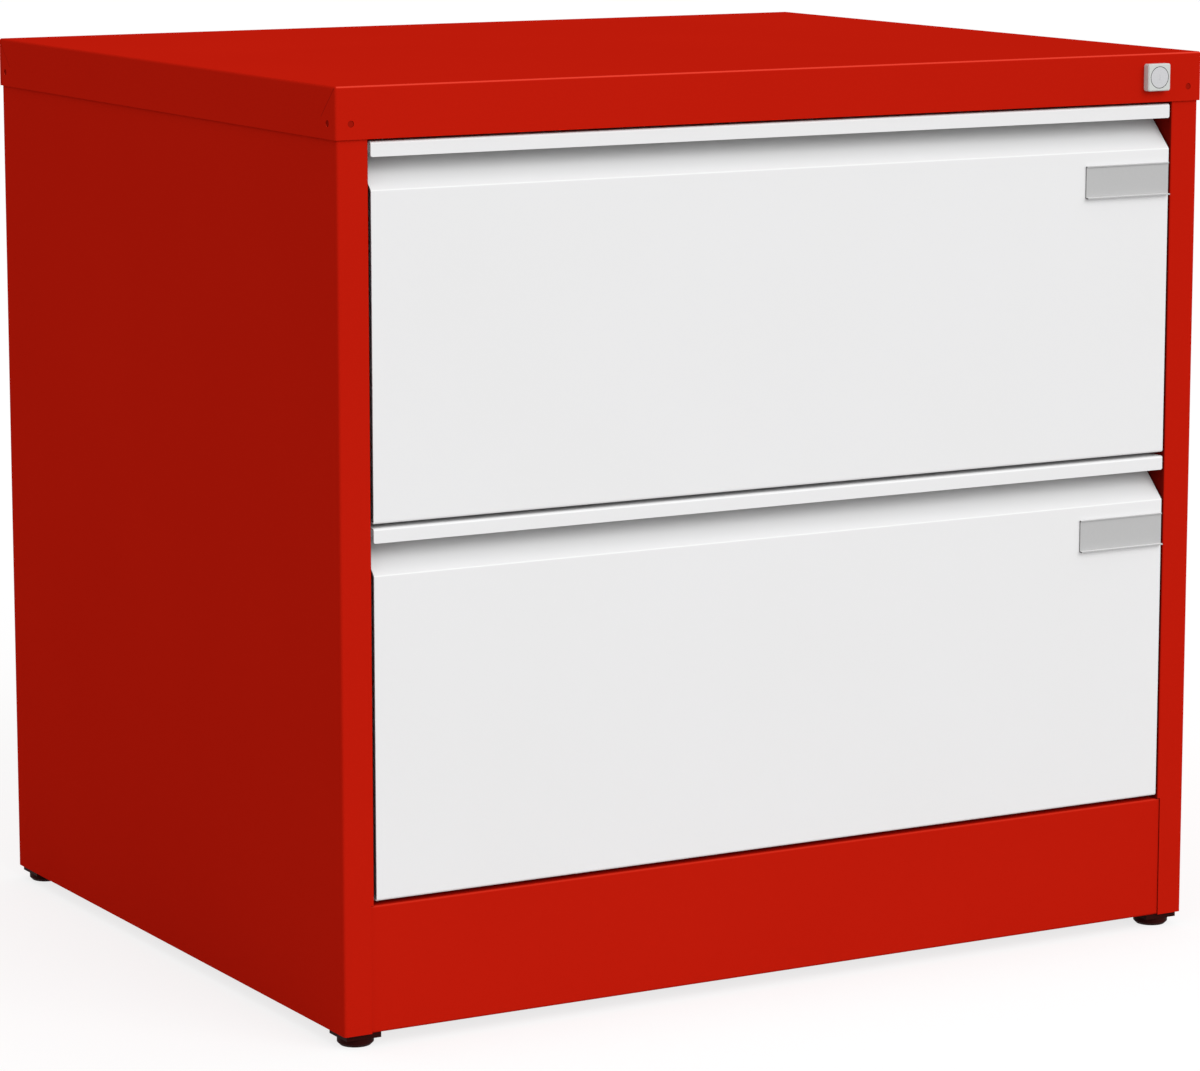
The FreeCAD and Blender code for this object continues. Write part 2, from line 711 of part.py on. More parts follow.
def lock_bar_guide(row):
    """Strap round the bar, welded to the side panel."""
    near = f"({BAR_FACE} - guide_gap - guide_wall)"
    away = f"({BAR_REAR} + guide_gap + guide_wall)"
    inner = f"({BAR_INNER} - guide_gap - guide_wall)"
    path = [(INNER_WALL, near), (inner, near), (inner, away), (INNER_WALL, away)]
    low = f"({FRONT_TOPS[row]} - guide_drop)"
    name = f"lock_bar_{row}_guide"
    rolled(name, "XY_Plane", path, low, f"{low} + guide_height", False, "guide_wall")


def runner_path(side, row, points):
    """Points of a runner's section, given from the upright and from its middle height."""
    middle = f"({FRONT_BOTTOMS[row]} + runner_rise)"
    return [(sided(SIDES[side], f"{OPENING} - {depth}"), f"{middle} + {height}") for depth, height in points]


def runner_rails(row, side):
    """Outer, middle and inner rail of one telescopic runner."""
    lip = f"({RAIL_TIP})"
    half = "(runner_height / 2)"
    outer = [
        (lip, f"{half} - rail_lip"), (lip, half), ("0", half),
        ("0", f"(-{half})"), (lip, f"(-{half})"), (lip, f"(rail_lip - {half})"),
    ]
    middle = [
        (lip, f"{MIDDLE_HALF} - rail_lip"), (lip, MIDDLE_HALF), (MIDDLE_WEB, MIDDLE_HALF),
        (MIDDLE_WEB, f"(-{MIDDLE_HALF})"), (lip, f"(-{MIDDLE_HALF})"), (lip, f"(rail_lip - {MIDDLE_HALF})"),
    ]
    tip = f"({MIDDLE_WEB} + rail_wall + web_gap)"
    inner = [
        (tip, INNER_HALF), ("runner_depth", INNER_HALF),
        ("runner_depth", f"(-{INNER_HALF})"), (tip, f"(-{INNER_HALF})"),
    ]
    away = SIDES[side] < 0
    for kind, points, left in (("outer", outer, not away), ("middle", middle, not away), ("inner", inner, away)):
        path = runner_path(side, row, points)
        name = f"{row}_{side}_{kind}_rail"
        rolled(name, "XZ_Plane", path, RUNNER_FRONT, RUNNER_REAR, not left, "rail_wall")


def faceted_ball(name, diameter, centre):
    """Ball with flat facets: what two eight-sided bars share where they cross."""
    bars = []
    for axis in ((0, 0, 1), (0, 1, 0)):
        bar = doc.addObject("Part::Prism", name + "_bar")
        bar.Polygon = 8
        bar.setExpression("Circumradius", bound(f"{diameter} / 2 / cos(22.5)"))
        bar.setExpression("Height", bound(diameter))
        half_turn = FreeCAD.Rotation(FreeCAD.Vector(0, 0, 1), 22.5)
        bar.Placement.Rotation = FreeCAD.Rotation(FreeCAD.Vector(0, 0, 1), FreeCAD.Vector(*axis)) * half_turn
        for letter, text, step in zip("xyz", centre, axis):
            bar.setExpression(f"Placement.Base.{letter}", bound(f"{text} - {step} * {diameter} / 2"))
        bars.append(bar)
    ball = doc.addObject("Part::Common", name + "_ball")
    ball.Base = bars[0]
    ball.Tool = bars[1]
    return ball


def ball_cage(row, side, stage):
    """Strip that keeps the balls of one stage apart, with the balls in its holes."""
    if stage == "outer":
        web = "(rail_wall + (web_gap - cage_wall) / 2)"
        height = "(runner_height / 2 - rail_wall - outer_race / 2)"
        race = "outer_race"
    else:
        web = f"({MIDDLE_WEB} + rail_wall + (web_gap - cage_wall) / 2)"
        height = f"({MIDDLE_HALF} - rail_wall - inner_race / 2)"
        race = "inner_race"
    arm = f"({RAIL_TIP} - rail_wall - web_gap)"
    edge = f"({height} + cage_wall / 2)"
    path = runner_path(side, row, [(arm, edge), (web, edge), (web, f"(-{edge})"), (arm, f"(-{edge})")])
    name = f"{row}_{side}_{stage}_cage"
    start = f"({RUNNER_MIDDLE} - cage_length / 2)"
    left = SIDES[side] > 0
    body = rolled(name, "XZ_Plane", path, start, f"{start} + cage_length", not left, "cage_wall")
    ball = f"({race} - 2 * ball_clearance)"
    across = sided(SIDES[side], f"{OPENING} - ({MIDDLE_WEB} + rail_wall + {RAIL_TIP}) / 2")
    middle = f"({FRONT_BOTTOMS[row]} + runner_rise)"
    places = [
        f"({RUNNER_MIDDLE} + {step - (BALLS_PER_ROW - 1) / 2} * ball_pitch)" for step in range(BALLS_PER_ROW)
    ]
    room = f"({ball} / 2 + ball_clearance)"
    windows = [
        rectangle(f"{across} - {room}", f"{across} + {room}", f"{along} - {room}", f"{along} + {room}")
        for along in places
    ]
    prism(body, "XY_Plane", windows, f"{middle} - {edge} - overrun", f"{middle} + {edge} + overrun", cut=True)
    levels = [f"({middle} + {sign} * {height})" for sign in (-1, 1)]
    return [body] + [faceted_ball(name, ball, (across, along, level)) for along in places for level in levels]


def ball_cages(row, stage):
    """Both cages of one stage of a drawer's pair of runners."""
    name = f"{row}_{stage}_ball_cages"
    group = doc.addObject("Part::Compound", name)
    group.Label = name
    group.Links = ball_cage(row, "left", stage) + ball_cage(row, "right", stage)
    return group


def front_skin(row):
    """Drawer front: flat face, a slope in to the finger grip, a lip over it, and returns at the ends."""
    body = new_body(f"{row}_front_skin")
    low = FRONT_BOTTOMS[row]
    high = FRONT_TOPS[row]
    rear = f"({FRONT} + grip_depth)"
    bend = f"({high} - grip_drop)"
    rise = "(grip_depth / tan(grip_angle))"
    lean = "(sheet * tan(grip_angle / 2))"
    outside = [
        (f"{rear} + sheet", low),
        (FRONT, low),
        (FRONT, bend),
        (rear, f"{bend} + {rise}"),
        (rear, f"{high} - sheet"),
        (f"{FRONT} + sheet", f"{high} - sheet"),
        (f"{FRONT} + sheet", f"{high} - grip_lip"),
    ]
    inside = [
        (FRONT, f"{high} - grip_lip"),
        (FRONT, high),
        (f"{rear} + sheet", high),
        (f"{rear} + sheet", f"{bend} + {rise} - {lean}"),
        (f"{FRONT} + sheet", f"{bend} - {lean}"),
        (f"{FRONT} + sheet", f"{low} + sheet"),
        (f"{rear} + sheet", f"{low} + sheet"),
    ]
    half = FRONT_HALF
    pad = prism(body, "YZ_Plane", [outside + inside], f"-{half}", half)
    soft = [outside[1], outside[2], inside[1], inside[2], inside[3]]
    hard = [outside[3], outside[4], outside[5], inside[4], inside[5]]
    pad = round_edges(body, pad, "YZ_Plane", soft, BEND_OUT)
    round_edges(body, pad, "YZ_Plane", hard, "bend_radius")
    flange = [
        (f"{FRONT} + sheet", f"{low} + sheet"),
        (f"{rear} + sheet", f"{low} + sheet"),
        (f"{rear} + sheet", f"{bend} + {rise} - {lean}"),
        (f"{FRONT} + sheet", f"{bend} - {lean}"),
    ]
    inset = f"({half} - front_return_inset)"
    prism(body, "YZ_Plane", [flange], f"-{inset}", f"sheet - {inset}")
    prism(body, "YZ_Plane", [flange], f"{inset} - sheet", inset)
    for sign in SIDES.values():
        for edge in (f"{high} - grip_lip", low):
            corner = [
                (half, edge),
                (f"{half} - front_corner", edge),
                (half, f"{edge} + front_corner"),
            ]
            spare = [turned(sign, corner)]
            prism(body, "XZ_Plane", spare, f"{FRONT} - overrun", f"{FRONT} + sheet", cut=True)


def front_liner(row):
    """Plate that closes the front from behind and carries the box."""
    body = new_body(f"{row}_front_liner")
    low = FRONT_BOTTOMS[row]
    half = f"({FRONT_HALF} - liner_margin)"
    plate = rectangle(f"-{half}", half, f"{low} + liner_margin", f"{FRONT_TOPS[row]} - liner_margin")
    prism(body, "XZ_Plane", [plate], LINER_FACE, LINER_BACK)


def box_levels(row):
    """Lower edge of the drawer box and level of its file shelves."""
    low = f"({FRONT_BOTTOMS[row]} + box_rise)"
    return low, f"({FRONT_TOPS[row]} - file_shelf_drop)"


def box_side(row, side):
    """Drawer side with a flange under the bottom and a shelf and upstand for the file hooks."""
    low, shelf = box_levels(row)
    sign = SIDES[side]
    path = [
        (f"{BOX_SIDE} - side_bottom_flange", low),
        (BOX_SIDE, low),
        (BOX_SIDE, shelf),
        (f"{BOX_SIDE} - file_shelf", shelf),
        (f"{BOX_SIDE} - file_shelf", f"{shelf} + file_upstand"),
    ]
    name = f"{row}_{side}_drawer_side"
    rolled(name, "XZ_Plane", turned(sign, path), LINER_BACK, BOX_REAR, sign > 0, "sheet")


def box_bottom(row):
    """Plate on the flanges of the drawer sides."""
    body = new_body(f"{row}_drawer_bottom")
    low, _ = box_levels(row)
    half = f"({BOX_SIDE} - {BEND_OUT})"
    plate = rectangle(f"-{half}", half, LINER_BACK, BOX_REAR)
    prism(body, "XY_Plane", [plate], f"{low} + sheet", f"{low} + 2 * sheet")


def box_back(row):
    """Pan between the drawer sides, on the bottom and under the shelves."""
    low, shelf = box_levels(row)
    half = f"({BOX_SIDE} - sheet)"
    path = [
        (f"-{half}", f"{BOX_REAR} - back_side_flange"),
        (f"-{half}", BOX_REAR),
        (half, BOX_REAR),
        (half, f"{BOX_REAR} - back_side_flange"),
    ]
    high = f"{shelf} - {BEND_OUT}"
    rolled(f"{row}_drawer_back", "XY_Plane", path, f"{low} + 2 * sheet", high, False, "sheet")


def centre_file_rail(row):
    """Channel between the two rows of files, its edges carry the inner hooks."""
    _, shelf = box_levels(row)
    low = f"({shelf} - file_rail_depth)"
    high = f"({shelf} + file_upstand)"
    path = [
        ("-file_rail_half", high),
        ("-file_rail_half", low),
        ("file_rail_half", low),
        ("file_rail_half", high),
    ]
    rolled(f"{row}_centre_file_rail", "XZ_Plane", path, LINER_BACK, f"{BOX_REAR} - sheet", True, "sheet")


def label_holder(row):
    """Flat holder with a thin lip above and a ledge below."""
    high = f"({FRONT_TOPS[row]} - label_drop)"
    low = f"({high} - label_height)"
    path = [
        (f"{FRONT} - label_lip", high),
        (FRONT, high),
        (FRONT, low),
        (f"{FRONT} - label_ledge", low),
    ]
    end = f"({FRONT_HALF} - label_end_gap)"
    name = f"{row}_label_holder"
    rolled(name, "YZ_Plane", path, f"{end} - label_width", end, False, "sheet")


def lock_catch(row):
    """Angle on the drawer side that the lock tab stands in front of."""
    near = f"({BAR_REAR} + tab_catch_gap)"
    path = [
        (BOX_SIDE, f"{near} + catch_length"),
        (BOX_SIDE, near),
        (f"{BOX_SIDE} + catch_reach", near),
    ]
    low = f"({FRONT_TOPS[row]} - catch_drop)"
    name = f"{row}_lock_catch"
    rolled(name, "XY_Plane", path, low, f"{low} + catch_height", True, "catch_wall")


def build_cabinet():
    """Every sub-part of the cabinet."""
    groups = [cover_rivets(), feet()]
    top_cover()
    back_panel()
    bottom_panel()
    plinth()
    front_top_rail()
    lock_housing()
    lock_core()
    lock_nut()
    lock_crank()
    lock_bar()
    for side in SIDES:
        side_panel(side)
        for end in ENDS:
            upright(side, end)
    for row in FRONT_BOTTOMS:
        front_skin(row)
        front_liner(row)
        box_bottom(row)
        box_back(row)
        centre_file_rail(row)
        label_holder(row)
        lock_catch(row)
        lock_bar_guide(row)
        for side in SIDES:
            box_side(row, side)
            runner_rails(row, side)
        for stage in ("outer", "inner"):
            groups.append(ball_cages(row, stage))
    return groups


groups = build_cabinet()
doc.recompute()
failed = [item.Label for item in doc.Objects if "Invalid" in item.State or "Error" in item.State]
if failed:
    raise RuntimeError(f"failed objects: {failed}")
grouped = {item.Name for group in groups for item in group.OutListRecursive}
bodies = [item for item in doc.Objects if item.TypeId == "PartDesign::Body" and item.Name not in grouped]
parts = bodies + groups
broken = [item.Label for item in parts if item.Shape.isNull() or not item.Shape.isValid()]
if broken:
    raise RuntimeError(f"broken shapes: {broken}")
os.makedirs("parts", exist_ok=True)
for item in parts:
    item.Shape.exportStep(f"parts/{item.Label}.step")
print(f"{len(parts)} sub-parts written")
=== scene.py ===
# %% [markdown]
# A low, wide filing cabinet in folded sheet steel: a red carcass with a lipped cover, two white drawers
# with finger grips folded along their tops, grey label holders, a small square lock and dark feet. The
# shapes come finished from the CAD model. This lesson gives each of them its surface, adds the shutter of
# the lock's keyway, and sets up the floor, the light and the camera.

# %% Load the cabinet
import bpy
import json
import math
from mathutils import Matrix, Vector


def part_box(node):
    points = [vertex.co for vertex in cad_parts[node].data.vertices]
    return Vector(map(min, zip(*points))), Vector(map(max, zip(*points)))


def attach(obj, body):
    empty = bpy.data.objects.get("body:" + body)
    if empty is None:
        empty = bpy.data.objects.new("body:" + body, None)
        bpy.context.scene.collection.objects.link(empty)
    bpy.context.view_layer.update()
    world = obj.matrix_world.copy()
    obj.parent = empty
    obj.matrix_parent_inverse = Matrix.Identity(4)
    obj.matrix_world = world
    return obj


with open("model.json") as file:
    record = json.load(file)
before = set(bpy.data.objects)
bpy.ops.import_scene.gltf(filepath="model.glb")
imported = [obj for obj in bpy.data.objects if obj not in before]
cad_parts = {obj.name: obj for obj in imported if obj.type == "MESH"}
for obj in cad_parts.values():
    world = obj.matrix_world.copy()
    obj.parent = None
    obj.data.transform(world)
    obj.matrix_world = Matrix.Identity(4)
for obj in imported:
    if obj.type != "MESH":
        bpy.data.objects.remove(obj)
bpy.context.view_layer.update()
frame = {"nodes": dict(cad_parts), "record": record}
bpy.ops.object.select_all(action="DESELECT")

# %% [markdown]
# Colours are written as sRGB hex values, the way a paint chart gives them. Shaders want linear light, so
# one function turns them. A second function adds a shader node together with its settings, its plain input
# values and its links, which keeps every material readable as a short list.

# %% Colours and shader nodes
def hex_colour(code):
    """Linear red, green, blue and alpha from an sRGB hex code."""
    parts = [int(code[start:start + 2], 16) / 255 for start in (1, 3, 5)]
    linear = [part / 12.92 if part <= 0.04045 else ((part + 0.055) / 1.055) ** 2.4 for part in parts]
    return (*linear, 1.0)


def add_node(tree, kind, settings=None, values=None, links=None):
    """A shader node with its own settings, input values and links into its inputs."""
    made = tree.nodes.new(kind)
    for name, value in (settings or {}).items():
        setattr(made, name, value)
    for socket, value in (values or {}).items():
        made.inputs[socket].default_value = value
    for socket, source in (links or {}).items():
        tree.links.new(source, made.inputs[socket])
    return made


print("mid grey in linear light:", [round(part, 3) for part in hex_colour("#808080")])

# %% [markdown]
# Every material starts as an empty tree and ends with an output. Patterns read Object coordinates, which
# are in metres, so the size of a pattern in millimetres is turned into a texture scale. A Mix node has
# sockets for several kinds of data, which go by number here: these are the ones for colours.

# %% Start and end of a material
MM_PER_METRE = 1000
MIX_A = 6
MIX_B = 7
MIX_RESULT = 2


def start_material(name):
    """A named material with an empty tree."""
    material = bpy.data.materials.new(name)
    material.use_nodes = True
    material.node_tree.nodes.clear()
    return material, material.node_tree


def end_material(tree, shader):
    """Send the shader to the surface."""
    add_node(tree, "ShaderNodeOutputMaterial", links={"Surface": shader.outputs[0]})


def per_metre(millimetres):
    """Texture scale that gives a pattern of this size."""
    return MM_PER_METRE / millimetres


print("a pattern of 5 mm has the scale", per_metre(5))

# %% [markdown]
# Painted highlights on bends and painted shade on sides turned away from the light are placed by the way the
# surface faces: the dot product of its normal and a direction is the cosine of the angle between them. A Map
# Range node makes that a share, which is full within a spread of angles and fades out a little beyond it.

# %% Painted light and shade by the way a surface faces
FADE_OUT = 1.5
UP = (0.0, 0.0, 1.0)
FRONTWARDS = (0.0, -1.0, 0.0)
LEFTWARDS = (-1.0, 0.0, 0.0)
RIGHTWARDS = (1.0, 0.0, 0.0)


def facing_tone(tree, tone, direction, spread, colour):
    """Another colour where the surface faces a direction, within a spread in degrees."""
    normal = add_node(tree, "ShaderNodeTexCoord").outputs["Normal"]
    facing = add_node(tree, "ShaderNodeVectorMath", settings={"operation": "DOT_PRODUCT"},
                      values={1: direction}, links={0: normal})
    share = add_node(tree, "ShaderNodeMapRange",
                     values={"From Min": math.cos(math.radians(FADE_OUT * spread)),
                             "From Max": math.cos(math.radians(spread))},
                     links={"Value": facing.outputs["Value"]})
    mixed = add_node(tree, "ShaderNodeMix", settings={"data_type": "RGBA"},
                     values={MIX_B: hex_colour(colour)},
                     links={"Factor": share.outputs["Result"], MIX_A: tone})
    return mixed.outputs[MIX_RESULT]


print("a tone by direction fades out at", FADE_OUT, "times its spread")

# %% [markdown]
# Polyester powder coat is sprayed as dust and baked. It flows out to a closed, satin skin with a faint
# orange peel, whose waves are a millimetre or two wide. At the size of this picture such waves would
# vanish, so they are drawn a few millimetres wide. A second, much wider noise moves the tone very slightly,
# as film thickness does. The red is kept free of mirror gloss, because the cabinet shows the same deep
# colour at every angle. The white has a little, which its pale colour hides. The bends at the front get a
# painted highlight: a lighter tone, found by the way the surface faces.

# %% Powder coats
PEEL_MM = 5.0
PEEL_STRENGTH = 0.05
PEEL_DEPTH = 0.0004
PEEL_ROUGHNESS = 0.04
FILM_MM = 160.0
FRONT_BEND = (0.0, -0.707, 0.707)
FRONT_BEND_SPREAD = 16.0
GRIP_BEND = (0.0, -0.924, 0.383)
GRIP_BEND_SPREAD = 9.0


def powder_coat(name, colour, thin_colour, gloss, roughness, tones):
    """Satin powder coat with orange peel, a slight change of film thickness, and painted light and shade as
    tones by direction.
    """
    material, tree = start_material(name)
    place = add_node(tree, "ShaderNodeTexCoord").outputs["Object"]
    film = add_node(tree, "ShaderNodeTexNoise", values={"Scale": per_metre(FILM_MM), "Detail": 3.0},
                    links={"Vector": place})
    tone = add_node(tree, "ShaderNodeMix", settings={"data_type": "RGBA"},
                    values={MIX_A: hex_colour(colour), MIX_B: hex_colour(thin_colour)},
                    links={"Factor": film.outputs["Fac"]}).outputs[MIX_RESULT]
    for direction, spread, other_colour in tones:
        tone = facing_tone(tree, tone, direction, spread, other_colour)
    peel = add_node(tree, "ShaderNodeTexNoise", values={"Scale": per_metre(PEEL_MM), "Detail": 2.0},
                    links={"Vector": place})
    waves = add_node(tree, "ShaderNodeBump", values={"Strength": PEEL_STRENGTH, "Distance": PEEL_DEPTH},
                     links={"Height": peel.outputs["Fac"]})
    satin = add_node(tree, "ShaderNodeMapRange",
                     values={"To Min": roughness - PEEL_ROUGHNESS, "To Max": roughness + PEEL_ROUGHNESS},
                     links={"Value": peel.outputs["Fac"]})
    coat = add_node(tree, "ShaderNodeBsdfPrincipled", values={"Specular IOR Level": gloss},
                    links={"Base Color": tone, "Roughness": satin.outputs["Result"],
                           "Normal": waves.outputs["Normal"]})
    end_material(tree, coat)
    return material


finishes = {
    "red_powder_coat": powder_coat(
        "red polyester powder coat", "#c21c0c", "#be1a0b", gloss=0.0, roughness=0.5,
        # Painted highlight along the front bends.
        tones=[(FRONT_BEND, FRONT_BEND_SPREAD, "#cd2b1a")]),
    "white_powder_coat": powder_coat(
        "white polyester powder coat", "#eeeeef", "#ececec", gloss=0.2, roughness=0.45,
        # Painted highlight along the bends of the grip.
        tones=[(GRIP_BEND, GRIP_BEND_SPREAD, "#f7f7f7")]),
}
print("powder coats:", list(finishes))

# %% [markdown]
# A few pieces wear the same finish with something of their own, such as a seam. Each takes a copy of it,
# and a helper makes the copy and finds the socket that gives it its colour. The side panels are the first:
# their inward faces get a dark red of painted shade, while the outside keeps its plain red.

# %% Painted shade inside the side panels
INSIDE_SPREAD = 40.0
INSIDE_SHADE_RED = "#6e0e07"


def own_version(slot, name):
    """A copy of a finish, with its tree, its coat and the tone that feeds the coat."""
    paint = finishes[slot].copy()
    paint.name = name
    tree = paint.node_tree
    coat = next(node for node in tree.nodes if node.type == "BSDF_PRINCIPLED")
    return paint, tree, coat, coat.inputs["Base Color"].links[0].from_socket


inside_shaded_paints = {}
for node, inwards in (("left_side_panel", RIGHTWARDS), ("right_side_panel", LEFTWARDS)):
    paint_name = f"red polyester powder coat, thin inside {node}"
    paint, tree, coat, plain_tone = own_version("red_powder_coat", paint_name)
    # Painted shade: a dark red on the faces turned inward.
    inside_shaded_tone = facing_tone(tree, plain_tone, inwards, INSIDE_SPREAD, INSIDE_SHADE_RED)
    tree.links.new(inside_shaded_tone, coat.inputs["Base Color"])
    inside_shaded_paints[node] = paint
print("thin coats inside:", list(inside_shaded_paints))

# %% [markdown]
# The cover is folded from one sheet, and its skirts meet in a mitre that is welded and ground at each
# corner. Under the paint it still shows on the side skirts as a faint line that runs down from the corner
# at 45 degrees. It is thinner than a pixel, so it is drawn here about a millimetre wide. Object coordinates
# are in metres from the middle of the cabinet, so a few Math nodes find the line: equally far behind the
# corner as below the top. The cover's front bend gets a stronger painted highlight of its own.

# %% Mitre seams on the cover
SEAM_LENGTH = 0.023
SEAM_HALF = 0.0005
SKIRT_SKIN = 0.0004
SEAM_COLOUR = "#a0140b"
COVER_BEND_HIGHLIGHT = "#e0402f"

cover_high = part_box("top_cover")[1]
cover_name = "red polyester powder coat over mitre seams"
cover_paint, tree, coat, plain_tone = own_version("red_powder_coat", cover_name)
# Painted highlight along the cover's front bend.
plain_tone = facing_tone(tree, plain_tone, FRONT_BEND, FRONT_BEND_SPREAD, COVER_BEND_HIGHLIGHT)
place = add_node(tree, "ShaderNodeTexCoord").outputs["Object"]
axes = add_node(tree, "ShaderNodeSeparateXYZ", links={"Vector": place})
side = add_node(tree, "ShaderNodeMath", settings={"operation": "ABSOLUTE"}, links={0: axes.outputs["X"]})
depth = add_node(tree, "ShaderNodeMath", settings={"operation": "ABSOLUTE"}, links={0: axes.outputs["Y"]})
behind = add_node(tree, "ShaderNodeMath", settings={"operation": "SUBTRACT"}, values={0: cover_high.y},
                  links={1: depth.outputs[0]})
below = add_node(tree, "ShaderNodeMath", settings={"operation": "SUBTRACT"}, values={0: cover_high.z},
                 links={1: axes.outputs["Z"]})
on_line = add_node(tree, "ShaderNodeMath", settings={"operation": "COMPARE"}, values={2: SEAM_HALF},
                   links={0: behind.outputs[0], 1: below.outputs[0]})
short = add_node(tree, "ShaderNodeMath", settings={"operation": "LESS_THAN"}, values={1: SEAM_LENGTH},
                 links={0: below.outputs[0]})
outside = add_node(tree, "ShaderNodeMath", settings={"operation": "GREATER_THAN"},
                   values={1: cover_high.x - SKIRT_SKIN}, links={0: side.outputs[0]})
seam = add_node(tree, "ShaderNodeMath", settings={"operation": "MULTIPLY"},
                links={0: on_line.outputs[0], 1: short.outputs[0]})
seam = add_node(tree, "ShaderNodeMath", settings={"operation": "MULTIPLY"},
                links={0: seam.outputs[0], 1: outside.outputs[0]})
add_seam = add_node(tree, "ShaderNodeMix", settings={"data_type": "RGBA"},
                    values={MIX_B: hex_colour(SEAM_COLOUR)},
                    links={"Factor": seam.outputs[0], MIX_A: plain_tone})
tree.links.new(add_seam.outputs[MIX_RESULT], coat.inputs["Base Color"])
print("seams drawn", SEAM_LENGTH * MM_PER_METRE, "mm long")

# %% [markdown]
# The rivets that hold the cover sit a little below its skin. Their dimples get a darker red of painted shade,
# so each reads as a dark red dot. Those in the front skirt face the light and get a lighter tone, painted
# light.

# %% Painted shade in the rivet dimples
FRONT_DIMPLE_SPREAD = 30.0

# Painted shade in the dimples, with painted light on the front-facing rivets.
dimple_shaded_paint = powder_coat(
    "thin red powder coat in a dimple", "#94140b", "#8a1109", gloss=0.0, roughness=0.6,
    tones=[(FRONTWARDS, FRONT_DIMPLE_SPREAD, "#a0170b")])
print("made", dimple_shaded_paint.name)

# %% [markdown]
# The finger grips get painted shade too: the tone darkens with the depth behind the drawer's face, and the
# grip's flat top keeps its full white.

# %% Painted shade in the finger grips
GRIP_START = 0.002
GRIP_END = 0.022
GRIP_SHADE_COLOUR = "#cacaca"
FLAT_TOP_SPREAD = 25.0
FLAT_TOP_COLOUR = "#eeeeee"

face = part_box("upper_front_skin")[0].y
grip_name = "white polyester powder coat, thin in the grip"
grip_shaded_paint, tree, coat, plain_tone = own_version("white_powder_coat", grip_name)
place = add_node(tree, "ShaderNodeTexCoord").outputs["Object"]
axes = add_node(tree, "ShaderNodeSeparateXYZ", links={"Vector": place})
# Painted shade that deepens behind the face, with the flat top left white.
deep = add_node(tree, "ShaderNodeMapRange",
                values={"From Min": face + GRIP_START, "From Max": face + GRIP_END},
                links={"Value": axes.outputs["Y"]})
shaded = add_node(tree, "ShaderNodeMix", settings={"data_type": "RGBA"},
                values={MIX_B: hex_colour(GRIP_SHADE_COLOUR)},
                links={"Factor": deep.outputs["Result"], MIX_A: plain_tone})
grip_shaded_tone = facing_tone(tree, shaded.outputs[MIX_RESULT], UP, FLAT_TOP_SPREAD, FLAT_TOP_COLOUR)
tree.links.new(grip_shaded_tone, coat.inputs["Base Color"])
print("made", grip_shaded_paint.name)

# %% [markdown]
# Runners, uprights and the lock's works are bright zinc-plated steel. The sheet is cold rolled, so fine
# lines run along it, and the plating gives a slightly uneven, bluish grey shine. The metal keeps the
# default IOR; its look comes from the colour, the roughness and a noise stretched along the drawer's
# travel.

# %% Zinc-plated steel
ROLL_LINE_MM = 1.6
ROLL_STRETCH = 0.03
BLOOM_MM = 30.0

material, tree = start_material("zinc plated steel, cold rolled")
place = add_node(tree, "ShaderNodeTexCoord").outputs["Object"]
along = add_node(tree, "ShaderNodeMapping", values={"Scale": (1.0, ROLL_STRETCH, 1.0)},
                 links={"Vector": place})
lines = add_node(tree, "ShaderNodeTexNoise", values={"Scale": per_metre(ROLL_LINE_MM), "Detail": 2.0},
                 links={"Vector": along.outputs["Vector"]})
bloom = add_node(tree, "ShaderNodeTexNoise", values={"Scale": per_metre(BLOOM_MM), "Detail": 4.0},
                 links={"Vector": place})
tone = add_node(tree, "ShaderNodeMix", settings={"data_type": "RGBA"},
                values={MIX_A: hex_colour("#b4b8be"), MIX_B: hex_colour("#c9cccf")},
                links={"Factor": bloom.outputs["Fac"]})
shine = add_node(tree, "ShaderNodeMapRange", values={"To Min": 0.30, "To Max": 0.46},
                 links={"Value": lines.outputs["Fac"]})
plate = add_node(tree, "ShaderNodeBsdfPrincipled", values={"Metallic": 1.0},
                 links={"Base Color": tone.outputs[MIX_RESULT], "Roughness": shine.outputs["Result"]})
end_material(tree, plate)
finishes["zinc_steel"] = material
print("made", material.name)

# %% [markdown]
# The feet and the lock's square housing are injection moulded and the label holders extruded, all of
# plastic. Its surface has a fine matt grain, here drawn a millimetre or two wide so that it shows. One
# function makes the three, with their own colour, grain and gloss. A label holder gets a painted highlight
# along its top edge and painted shade at its left end.

# %% Moulded plastics
GRAIN_STRENGTH = 0.08
GRAIN_DEPTH = 0.0002
LABEL_EDGE_SPREAD = 30.0


def moulded_plastic(name, colour, worn_colour, grain_mm, roughness, gloss, edges=()):
    """Moulded plastic with a fine matt grain, and painted light and shade on its edges."""
    material, tree = start_material(name)
    place = add_node(tree, "ShaderNodeTexCoord").outputs["Object"]
    grain = add_node(tree, "ShaderNodeTexNoise", values={"Scale": per_metre(grain_mm), "Detail": 3.0},
                     links={"Vector": place})
    tone = add_node(tree, "ShaderNodeMix", settings={"data_type": "RGBA"},
                    values={MIX_A: hex_colour(colour), MIX_B: hex_colour(worn_colour)},
                    links={"Factor": grain.outputs["Fac"]}).outputs[MIX_RESULT]
    for direction, spread, edge_colour in edges:
        tone = facing_tone(tree, tone, direction, spread, edge_colour)
    bumps = add_node(tree, "ShaderNodeBump", values={"Strength": GRAIN_STRENGTH, "Distance": GRAIN_DEPTH},
                     links={"Height": grain.outputs["Fac"]})
    skin = add_node(tree, "ShaderNodeBsdfPrincipled",
                    values={"Roughness": roughness, "Specular IOR Level": gloss},
                    links={"Base Color": tone, "Normal": bumps.outputs["Normal"]})
    end_material(tree, skin)
    return material


